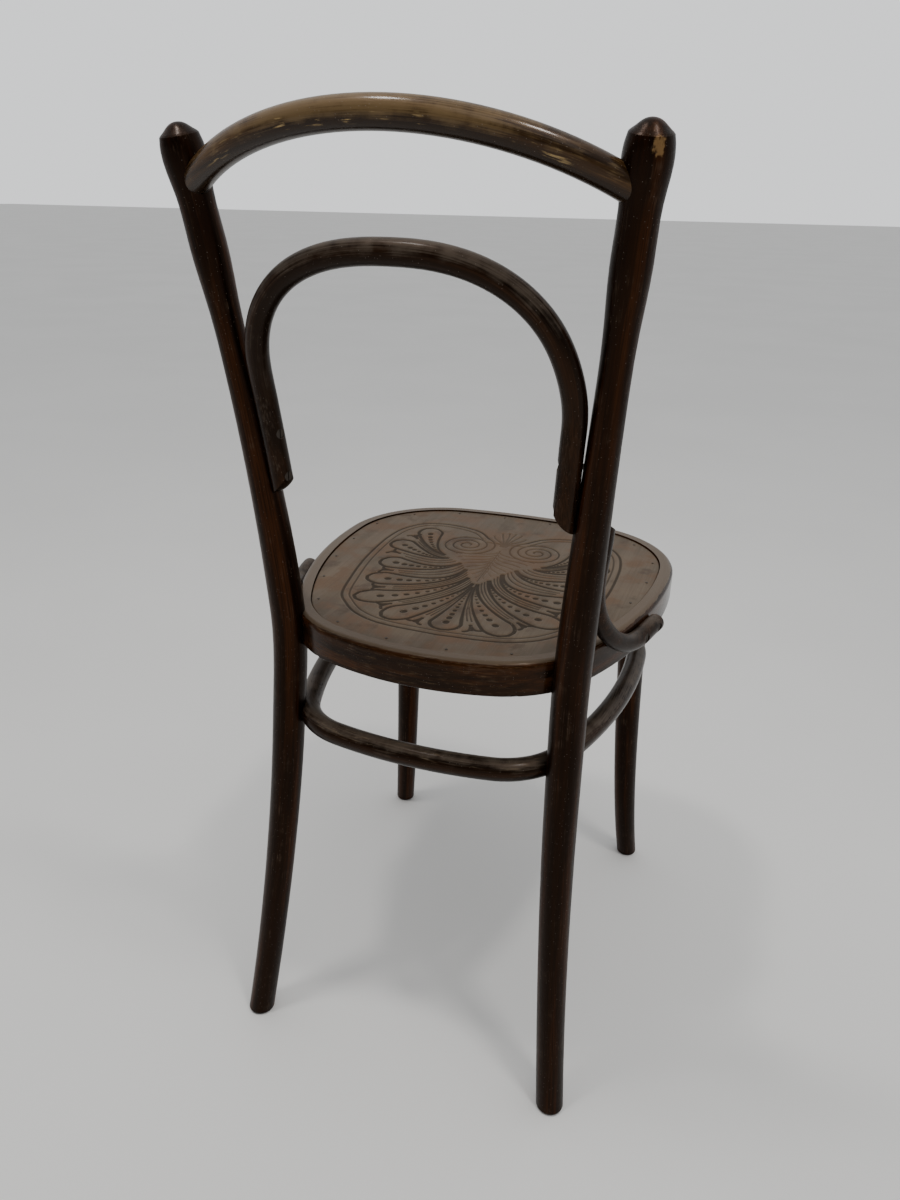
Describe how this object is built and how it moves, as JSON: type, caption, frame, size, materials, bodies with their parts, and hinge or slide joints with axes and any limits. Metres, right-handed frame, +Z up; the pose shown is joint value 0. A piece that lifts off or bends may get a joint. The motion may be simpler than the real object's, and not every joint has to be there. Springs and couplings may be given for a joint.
{
  "type": "bentwood bistro chair",
  "caption": "Rigid bentwood cafe chair: long bent rear posts, arched crest rail, inner bow, round-cornered ring seat with a pressed panel, closed stretcher ring and hip braces.",
  "frame": {"origin": "on the floor, under the middle of the chair's width and depth", "axes": "+Z up, -Y the way the sitter faces, +X the sitter's left"},
  "size_m": [0.396, 0.4753, 0.8837],
  "materials": {
    "frame_wood": "near-black brown stain under old worn varnish",
    "rail_wood": "mid-brown stain rubbed through to golden wood on top",
    "ring_wood": "dark reddish brown stain, glossy on the rim",
    "panel_wood": "grey-brown pressed plywood, worn satin varnish",
    "block_wood": "bare aged beech",
    "screw_steel": "dull, darkened steel",
    "tack_steel": "dark oxidised steel"
  },
  "bodies": {
    "root": {"rear_post_left": "frame_wood", "rear_post_right": "frame_wood", "crest_rail": "rail_wood", "back_bow": "frame_wood", "seat_ring": "ring_wood", "seat_panel": "panel_wood", "corner_block_left": "block_wood", "corner_block_right": "block_wood", "front_leg_left": "frame_wood", "front_leg_right": "frame_wood", "stretcher_ring": "frame_wood", "brace_left": "frame_wood", "brace_right": "frame_wood", "post_screws": "screw_steel", "post_washers": "screw_steel", "bow_screws": "screw_steel", "brace_post_screws": "screw_steel", "brace_ring_screws": "screw_steel", "rear_stretcher_screws": "screw_steel", "front_stretcher_screws": "screw_steel", "panel_tacks": "tack_steel"}
  },
  "joints": []
}
